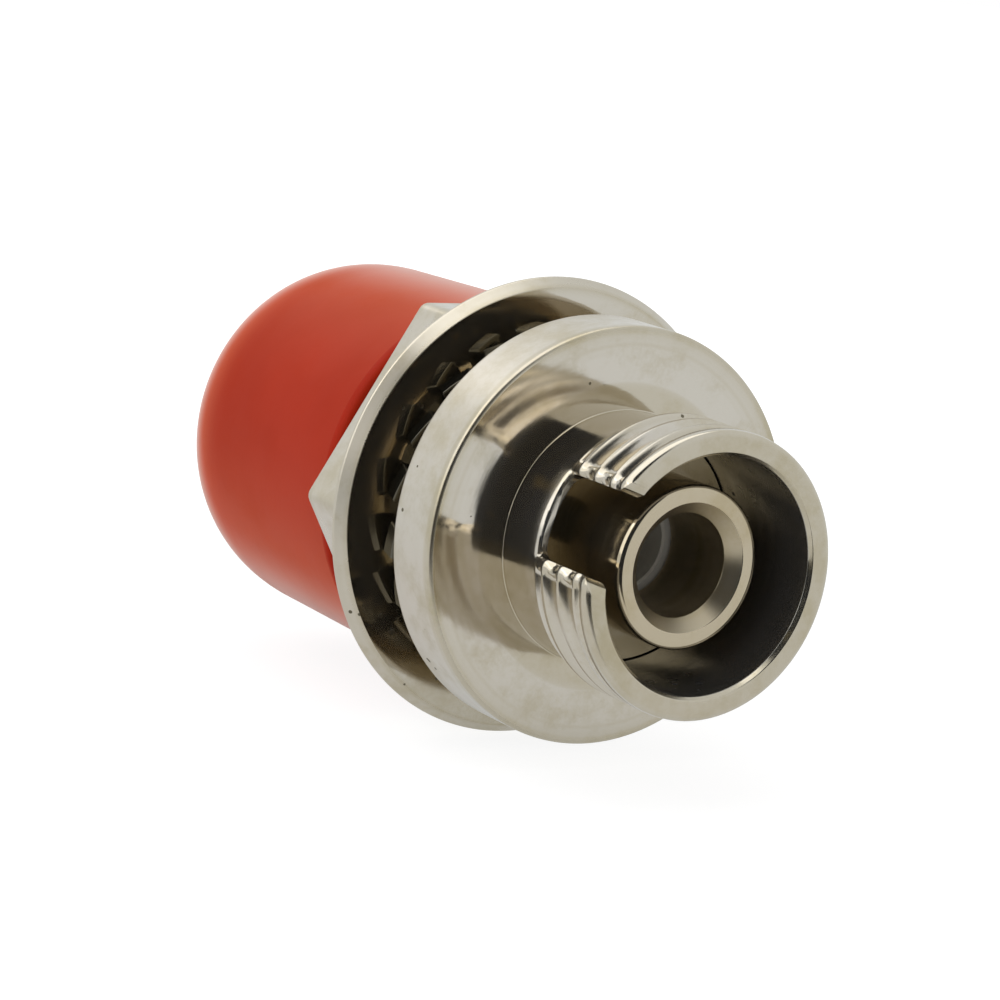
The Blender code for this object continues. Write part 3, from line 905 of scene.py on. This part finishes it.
for vert in body_bm.verts:
    out = vert.co.dot(key_out) / MM
    across = abs(vert.co.dot(key_across)) / MM
    radius = math.hypot(vert.co.x, vert.co.z) / MM
    y = vert.co.y / MM
    if out > 0 and radius > neck_r - 0.05 and y < key_end + broken:
        # The lip: grooves fill up towards the keyway, and fade out with the thread
        beside = smooth_step((lip_reach - (across - key_half)) / (lip_reach - lip_width))
        lip_radius = min(thread_r - 0.02, neck_r + run_out * max(front_end - y, 0.0))
        if radius < lip_radius:
            raised = radius + beside * (lip_radius - radius)
            scale_about_axis(vert, raised / radius)
            radius = raised
        # The broken edge: points near the keyway sink along a quarter circle
        past_end = 2 * max(y - key_end, 0.0)
        inward = broken - math.hypot(max(across - key_half, 0.0), past_end)
        if inward > 0:
            drop = broken - math.sqrt(max(broken ** 2 - min(inward, broken) ** 2, 0.0))
            scale_about_axis(vert, (radius - softness * drop) / radius)
            if y < rim_y + chamfer:
                vert.co.y += softness * drop * MM
    # The flat along the mounting thread, opposite the keyway
    if y > 0.05 and out < -flat_distance:
        vert.co += key_out * (-flat_distance - out) * MM
body = finish_mesh("adapter_body", body_bm, nickel)


# %% Keyways cut into both ends
def quarter_turn(first=0):
    """Seven angles that span a quarter turn, from a first one in degrees."""
    return [math.radians(first + 15 * step) for step in range(7)]


def keyway_cutter(name, low, high, opens_low):
    """A block across the wall of the barrel, from one y to another in mm.

    Its closed end has rounded corners. Where it opens towards low, its sides bend outwards at the
    front rim, which rounds the keyway's two corners there.
    """
    bm = bmesh.new()
    corner = 0.35
    flare = 0.42
    front_of_rim = rim_y - 0.004
    outline = []
    for side, y, first in ((1, high, 0), (-1, high, 90), (-1, low, 180), (1, low, 270)):
        if opens_low and y == low:
            bend = [(side * (key_half + flare * (1 - math.cos(angle))),
                     front_of_rim + flare * (1 - math.sin(angle))) for angle in quarter_turn()]
            bend.append((side * (key_half + flare), y))
            outline.extend(bend if side < 0 else reversed(bend))
        elif not opens_low and y == high:
            outline.append((side * key_half, y))
        else:
            centre_x = side * (key_half - corner)
            centre_y = high - corner if y == high else low + corner
            outline.extend((centre_x + corner * math.cos(angle),
                            centre_y + corner * math.sin(angle)) for angle in quarter_turn(first))
    depths = (1.5, 4.6)
    loops = [[bm.verts.new((key_out * depth + key_across * x) * MM + Vector((0, y * MM, 0)))
              for x, y in outline] for depth in depths]
    bm.faces.new(loops[0])
    bm.faces.new(loops[1])
    for index in range(len(outline)):
        after = (index + 1) % len(outline)
        bm.faces.new((loops[0][index], loops[0][after], loops[1][after], loops[1][index]))
    bmesh.ops.recalc_face_normals(bm, faces=bm.faces)
    mesh = bpy.data.meshes.new(name)
    bm.to_mesh(mesh)
    bm.free()
    cutter = bpy.data.objects.new(name, mesh)
    scene.collection.objects.link(cutter)
    return cutter


def cut(target, cutter):
    """Cuts one object with another, keeps the result as the target's plain mesh."""
    modifier = target.modifiers.new("cut", "BOOLEAN")
    modifier.operation = "DIFFERENCE"
    modifier.solver = "EXACT"
    modifier.object = cutter
    made = plain_mesh(target)
    target.modifiers.clear()
    target.data = made
    bpy.data.objects.remove(cutter)


cut(body, keyway_cutter("front_keyway", rim_y - 1.0, key_end, True))
cut(body, keyway_cutter("rear_keyway", rear_y - 3.0, rear_y + 1.0, False))
body.data.set_sharp_from_angle(angle=math.radians(35))
body.data.materials.clear()
body.data.materials.append(nickel)
stand_for(body, "housing", "adapter_body")
print("body faces after the cuts:", len(body.data.polygons))

# %% [markdown]
# ## Sleeve holders and sleeve
# A tube with a round base stands in each end of the body. Its mouth is countersunk to lead a plug's
# ferrule in. The two holders meet in the middle and hold a slit ceramic tube that lines the
# ferrules up. Only the front holder's end shows, but both are the same outline, mirrored.

# %% Sleeve holders
middle_y = (rim_y + rear_y) / 2
hole_r = 1.45
mouth = 0.37
seat_r = 1.70
tube_r = 2.29
base_r = 3.275
tube_front = rim_y + 1.04
base_front = rim_y + 3.85
base_back = rim_y + 5.01
seat_front = middle_y - 5.80
holder_back = middle_y - 0.02
holder_corners = [
    (hole_r + mouth, tube_front, 0.04),
    (tube_r, tube_front, 0.16),
    (tube_r, base_front),
    (base_r, base_front),
    (base_r, base_back),
    (tube_r, base_back),
    (tube_r, holder_back),
    (seat_r, holder_back),
    (seat_r, seat_front),
    (hole_r, seat_front, 0.03),
    (hole_r, rim_y + 1.41, 0.05),
]
front_outline = rounded(holder_corners)
rear_outline = [(radius, 2 * middle_y - y) for radius, y in front_outline]
for name, points in (("front_holder", front_outline), ("rear_holder", rear_outline)):
    holder = finish_mesh(name, spin(points, closed=True), bright)
    stand_for(holder, name.replace("holder", "sleeve_holder"), "adapter_body")


# %% Split sleeve
def make_sleeve():
    """A tube with one slit, from rings of an open arc."""
    bm = bmesh.new()
    inner, outer, end = 1.25, 1.6, 5.7
    half_slit = math.degrees(math.asin(0.225 / inner))
    count = 120
    edge = 0.06
    section = [(inner + edge, -end), (outer - edge, -end), (outer, -end + edge),
               (outer, end - edge), (outer - edge, end), (inner + edge, end),
               (inner, end - edge), (inner, -end + edge)]
    columns = []
    for step in range(count + 1):
        angle = math.radians(-90 + half_slit + (360 - 2 * half_slit) * step / count)
        columns.append([bm.verts.new((r * math.cos(angle) * MM, (middle_y + y) * MM,
                                      r * math.sin(angle) * MM)) for r, y in section])
    for here, after in zip(columns, columns[1:]):
        for index in range(len(section)):
            following = (index + 1) % len(section)
            bm.faces.new((here[index], here[following], after[following], after[index]))
    bm.faces.new(columns[0])
    bm.faces.new(columns[-1])
    return finish_mesh("ceramic_sleeve", bm, ceramic)


stand_for(make_sleeve(), "split_sleeve", "adapter_body")

# %% [markdown]
# ## Lock washer
# The washer is stamped from thin spring steel and each of its 20 teeth is twisted about its own
# radius, so that their corners bite the nut and the panel. One tooth with its piece of ring is
# modelled, and a small tree turns copies of it about the axis. The copies share their side edges,
# which merge, so the washer comes out as one skin.


# %% One tooth of the washer
def make_tooth_mesh():
    """One twentieth of the washer, around angle 0, with a twisted tooth."""
    bore, root, tip = 4.1, 4.65, 5.3
    half_pitch = 9.0
    half_tooth = 5.58
    sheet = 0.45
    twist = math.radians(22)
    twist_length = 0.4
    half_width = tip * math.sin(math.radians(half_tooth))
    bm = bmesh.new()
    levels = (-sheet / 2, sheet / 2)
    angles = (-half_pitch, -half_tooth, -half_tooth / 2, 0, half_tooth / 2, half_tooth, half_pitch)
    first_side, last_side = 1, len(angles) - 2
    radii = [bore, 4.35, root]
    layers = {}
    for a_index, angle in enumerate(angles):
        for r_index, radius in enumerate(radii):
            for level, y in enumerate(levels):
                turn = math.radians(angle)
                layers[a_index, r_index, level] = bm.verts.new(
                    (radius * math.cos(turn) * MM, y * MM, radius * math.sin(turn) * MM))
    stations = (4.72, 4.85, 5.0, 5.22, tip)
    for a_index, angle in list(enumerate(angles))[1:-1]:
        for r_index, radius in enumerate(stations):
            share = smooth_step((radius - root) / twist_length)
            spun = twist * share
            narrow, thin = (0.93, 0.8) if radius == tip else (1.0, 1.0)
            side = radius * math.sin(math.radians(angle)) * (1 - share) + share * narrow * (
                half_width * angle / half_tooth)
            for level, y in enumerate(levels):
                across = side * math.cos(spun) - thin * y * math.sin(spun)
                along = side * math.sin(spun) + thin * y * math.cos(spun)
                out = math.sqrt(radius ** 2 - across ** 2)
                place = (out * MM, along * MM, across * MM)
                layers[a_index, r_index + len(radii), level] = bm.verts.new(place)
    rows = len(radii) + len(stations)
    for a_index in range(len(angles) - 1):
        last = rows if first_side <= a_index < last_side else len(radii)
        for r_index in range(last - 1):
            for level in (0, 1):
                bm.faces.new((layers[a_index, r_index, level], layers[a_index + 1, r_index, level],
                              layers[a_index + 1, r_index + 1, level],
                              layers[a_index, r_index + 1, level]))
        for r_index in (0, last - 1):
            bm.faces.new((layers[a_index, r_index, 0], layers[a_index + 1, r_index, 0],
                          layers[a_index + 1, r_index, 1], layers[a_index, r_index, 1]))
    for a_index in (first_side, last_side):
        for r_index in range(len(radii) - 1, rows - 1):
            bm.faces.new((layers[a_index, r_index, 0], layers[a_index, r_index + 1, 0],
                          layers[a_index, r_index + 1, 1], layers[a_index, r_index, 1]))
    mesh = bpy.data.meshes.new("washer_tooth")
    bm.to_mesh(mesh)
    bm.free()
    return mesh


tooth = bpy.data.objects.new("washer_tooth", make_tooth_mesh())
scene.collection.objects.link(tooth)
print("tooth faces:", len(tooth.data.polygons))


# %% Geometry Nodes tree that turns copies about the axis
def build_ring_tree():
    """Copies of one object, turned in equal steps about the bore's axis."""
    tree = bpy.data.node_groups.new("copies_round_the_axis", "GeometryNodeTree")
    tree.interface.new_socket("Geometry", in_out="OUTPUT", socket_type="NodeSocketGeometry")
    tree.interface.new_socket("Geometry", in_out="INPUT", socket_type="NodeSocketGeometry")
    tree.interface.new_socket("Copies", in_out="INPUT", socket_type="NodeSocketInt")
    tree.interface.new_socket("First Angle", in_out="INPUT", socket_type="NodeSocketFloat")
    tree.interface.new_socket("Place", in_out="INPUT", socket_type="NodeSocketFloat")
    tree.interface.new_socket("Tooth", in_out="INPUT", socket_type="NodeSocketObject")
    tree.interface.new_socket("Material", in_out="INPUT", socket_type="NodeSocketMaterial")
    given = tree.nodes.new("NodeGroupInput").outputs
    result = tree.nodes.new("NodeGroupOutput")
    points = tree.nodes.new("GeometryNodeMeshLine")
    points.inputs["Offset"].default_value = (0, 0, 0)
    tree.links.new(given["Copies"], points.inputs["Count"])
    place = tree.nodes.new("ShaderNodeCombineXYZ")
    tree.links.new(given["Place"], place.inputs[1])
    tree.links.new(place.outputs[0], points.inputs["Start Location"])
    index = tree.nodes.new("GeometryNodeInputIndex")
    step = maths(tree, "DIVIDE", -2 * math.pi, given["Copies"])
    angle = maths(tree, "MULTIPLY_ADD", index.outputs[0], step,
                  maths(tree, "MULTIPLY", given["First Angle"], -math.pi / 180))
    turn_vector = tree.nodes.new("ShaderNodeCombineXYZ")
    tree.links.new(angle, turn_vector.inputs[1])
    shape = tree.nodes.new("GeometryNodeObjectInfo")
    tree.links.new(given["Tooth"], shape.inputs["Object"])
    copies = tree.nodes.new("GeometryNodeInstanceOnPoints")
    tree.links.new(points.outputs[0], copies.inputs["Points"])
    tree.links.new(shape.outputs["Geometry"], copies.inputs["Instance"])
    tree.links.new(turn_vector.outputs[0], copies.inputs["Rotation"])
    realize = tree.nodes.new("GeometryNodeRealizeInstances")
    merge = tree.nodes.new("GeometryNodeMergeByDistance")
    merge.inputs["Distance"].default_value = 1e-7
    finish = tree.nodes.new("GeometryNodeSetMaterial")
    tree.links.new(given["Material"], finish.inputs["Material"])
    for before, after in ((copies, realize), (realize, merge), (merge, finish), (finish, result)):
        tree.links.new(before.outputs[0], after.inputs[0])
    return tree


ring_tree = build_ring_tree()
washer_low, washer_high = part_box("lock_washer")
washer_y = (washer_low.y + washer_high.y) / 2
washer_bm = grow(ring_tree, copies=20, first_angle=8.5, place=washer_y, tooth=tooth, material=steel)
bpy.data.objects.remove(tooth)
bmesh.ops.remove_doubles(washer_bm, verts=washer_bm.verts, dist=1e-7)
washer = finish_mesh("tooth_lock_washer", washer_bm, steel, 40)
bevel = washer.modifiers.new("broken_edges", "BEVEL")
bevel.width = 0.01 * MM
bevel.segments = 2
bevel.limit_method = "ANGLE"
bevel.angle_limit = math.radians(50)
stand_for(washer, "lock_washer", "washer")

# %% [markdown]
# ## Mounting nut
# The nut is a hexagon with a round collar on the side that faces the panel. In polar terms it is
# just another spun outline whose radius, on the hexagon, depends on the angle. So the same spin
# makes it, with one small function that gives the hexagon's radius with its rounded corners.

# %% Nut
nut_y = 1.69
nut_back = 4.08
collar_r = 6.66
collar_back = nut_y + 0.40
flat_r = 11.03 / 2
corner_round = 0.30
corner_angle = math.radians(181)
nut_bore_r = 4.1
lead_in = 0.25
nut_thread_low = nut_y + 0.32
nut_thread_high = nut_back - 0.32
# Rows on the hexagon carry a radius near this mark, which the spin's shape function turns back
HEXAGON = 100


def hexagon_radius(angle):
    """Distance to the hexagon's side, with its corner rounded, at an angle about the axis."""
    sixth = math.pi / 3
    off_corner = (angle - corner_angle + sixth / 2) % sixth - sixth / 2
    off_flat = sixth / 2 - abs(off_corner)
    straight = flat_r / math.cos(off_flat)
    centre = (flat_r - corner_round) / math.cos(sixth / 2)
    slant = math.tan(sixth / 2)
    edge = math.atan2(flat_r * slant - corner_round * slant, flat_r)
    if off_flat < edge:
        return straight
    half_chord = centre * math.sin(off_corner)
    return centre * math.cos(off_corner) + math.sqrt(corner_round ** 2 - half_chord ** 2)


def nut_shape(angle, radius, y):
    """Radius and y of a point: a hexagon row lies its mark's shortfall inside the side."""
    if radius < HEXAGON / 2:
        return radius, y
    return hexagon_radius(angle) - (HEXAGON - radius), y


collar = rounded([
    (nut_bore_r, nut_thread_low),
    (nut_bore_r, nut_y + lead_in, 0.05),
    (nut_bore_r + lead_in, nut_y, 0.05),
    (collar_r - 0.26, nut_y, 0.03),
    (collar_r, nut_y + 0.31, 0.08),
    (collar_r, collar_back, 0.03),
    (6.45, collar_back),
])
hexagon_rows = [
    (HEXAGON, collar_back),
    (HEXAGON, nut_y + 0.7),
    (HEXAGON, nut_back - 0.07),
    (HEXAGON, nut_back - 0.05),
    (HEXAGON - 0.015, nut_back - 0.015),
    (HEXAGON - 0.05, nut_back),
    (HEXAGON - 0.07, nut_back),
]
back_face = rounded([
    (5.35, nut_back),
    (nut_bore_r + lead_in, nut_back, 0.05),
    (nut_bore_r, nut_back - lead_in, 0.05),
    (nut_bore_r, nut_thread_high),
])
nut_outer = spin(collar + [Vector(row) for row in hexagon_rows] + back_face, shape=nut_shape)
nut_thread = make_thread(nut_thread_low, nut_thread_high, nut_bore_r, nut_bore_r, nut_bore_r,
                         depth=-0.3, rows=8, phase=0.4, material=polished, slope=1.2)
nut = finish_mesh("collared_nut", join(nut_outer, nut_thread), polished, 30)
stand_for(nut, "mounting_nut", "nut")

# %% [markdown]
# ## Dust cap
# The cap is a soft tube with a long rounded end, a little wider at its open rim. The end follows a
# superellipse, which sits between a half ball and a box, as dipped vinyl does on its mandrel.

# %% Cap
cap_rim_y = 4.33
shoulder_y = cap_rim_y + 6.75
shoulder_r = 5.415
dome_length = 4.36
fullness = 2 / 2.4
cap_bore_r = 4.04
cap_floor_y = rear_y + 0.95
dome_steps = 32
dome = []
for step in range(1, dome_steps + 1):
    angle = math.pi / 2 * step / dome_steps
    out = math.cos(angle) ** fullness if step < dome_steps else 0.0
    rise = math.sin(angle) ** fullness
    dome.append(Vector((shoulder_r * out, shoulder_y + dome_length * rise)))
walls = rounded([
    (0.0, cap_floor_y),
    (cap_bore_r, cap_floor_y, 0.8),
    (cap_bore_r, cap_rim_y, 0.18),
    (5.54, cap_rim_y, 0.35),
    (5.50, cap_rim_y + 2.2),
    (shoulder_r, shoulder_y),
], steps=6)
cap = finish_mesh("soft_dust_cap", spin(walls + dome), vinyl, 60)
stand_for(cap, "dust_cap", "cap")
